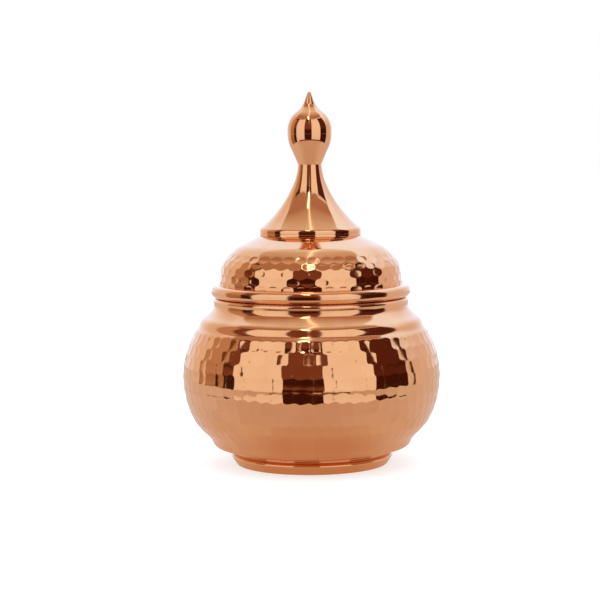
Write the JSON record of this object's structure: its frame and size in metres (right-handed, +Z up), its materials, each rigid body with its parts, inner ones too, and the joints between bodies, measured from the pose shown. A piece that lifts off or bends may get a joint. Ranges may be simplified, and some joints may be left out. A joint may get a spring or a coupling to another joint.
{
  "type": "lidded nut bowl",
  "caption": "Round-bellied hammered copper bowl on a low foot, with a loose domed lid that lifts off and a tall hollow finial ending in a point.",
  "frame": {"origin": "centre of the foot's underside, on the level that the bowl stands on", "axes": "+Z up along the axis of the bowl, lid and finial; the shape is round, so +X and +Y have no preferred side"},
  "size_m": [0.1596, 0.1596, 0.2298],
  "materials": {
    "hammered_copper": "hammered and polished copper sheet",
    "spun_copper": "spun and polished copper",
    "tin": "wiped tin lining, soft sheen",
    "turned_brass": "turned, bright",
    "plated_steel": "bright plated",
    "wire_steel": "drawn, dull"
  },
  "bodies": {
    "pot": {"pot_shell": "hammered_copper", "mouth_wire": "wire_steel", "foot_ring": "spun_copper"},
    "lid": {"lid_dome": "hammered_copper", "lid_wire": "wire_steel", "lid_skirt": "tin", "finial_collar": "spun_copper", "finial_cone": "spun_copper", "finial_bulb_lower": "spun_copper", "finial_bulb_upper": "spun_copper", "finial_point": "spun_copper", "finial_bush": "turned_brass", "finial_rod": "plated_steel", "finial_washer": "plated_steel", "finial_nut": "plated_steel"}
  },
  "joints": [
    {"name": "lid_lift", "type": "slide", "parent": "pot", "child": "lid", "axis": [0, 0, 1], "range_m": [0, 0.14]}
  ]
}
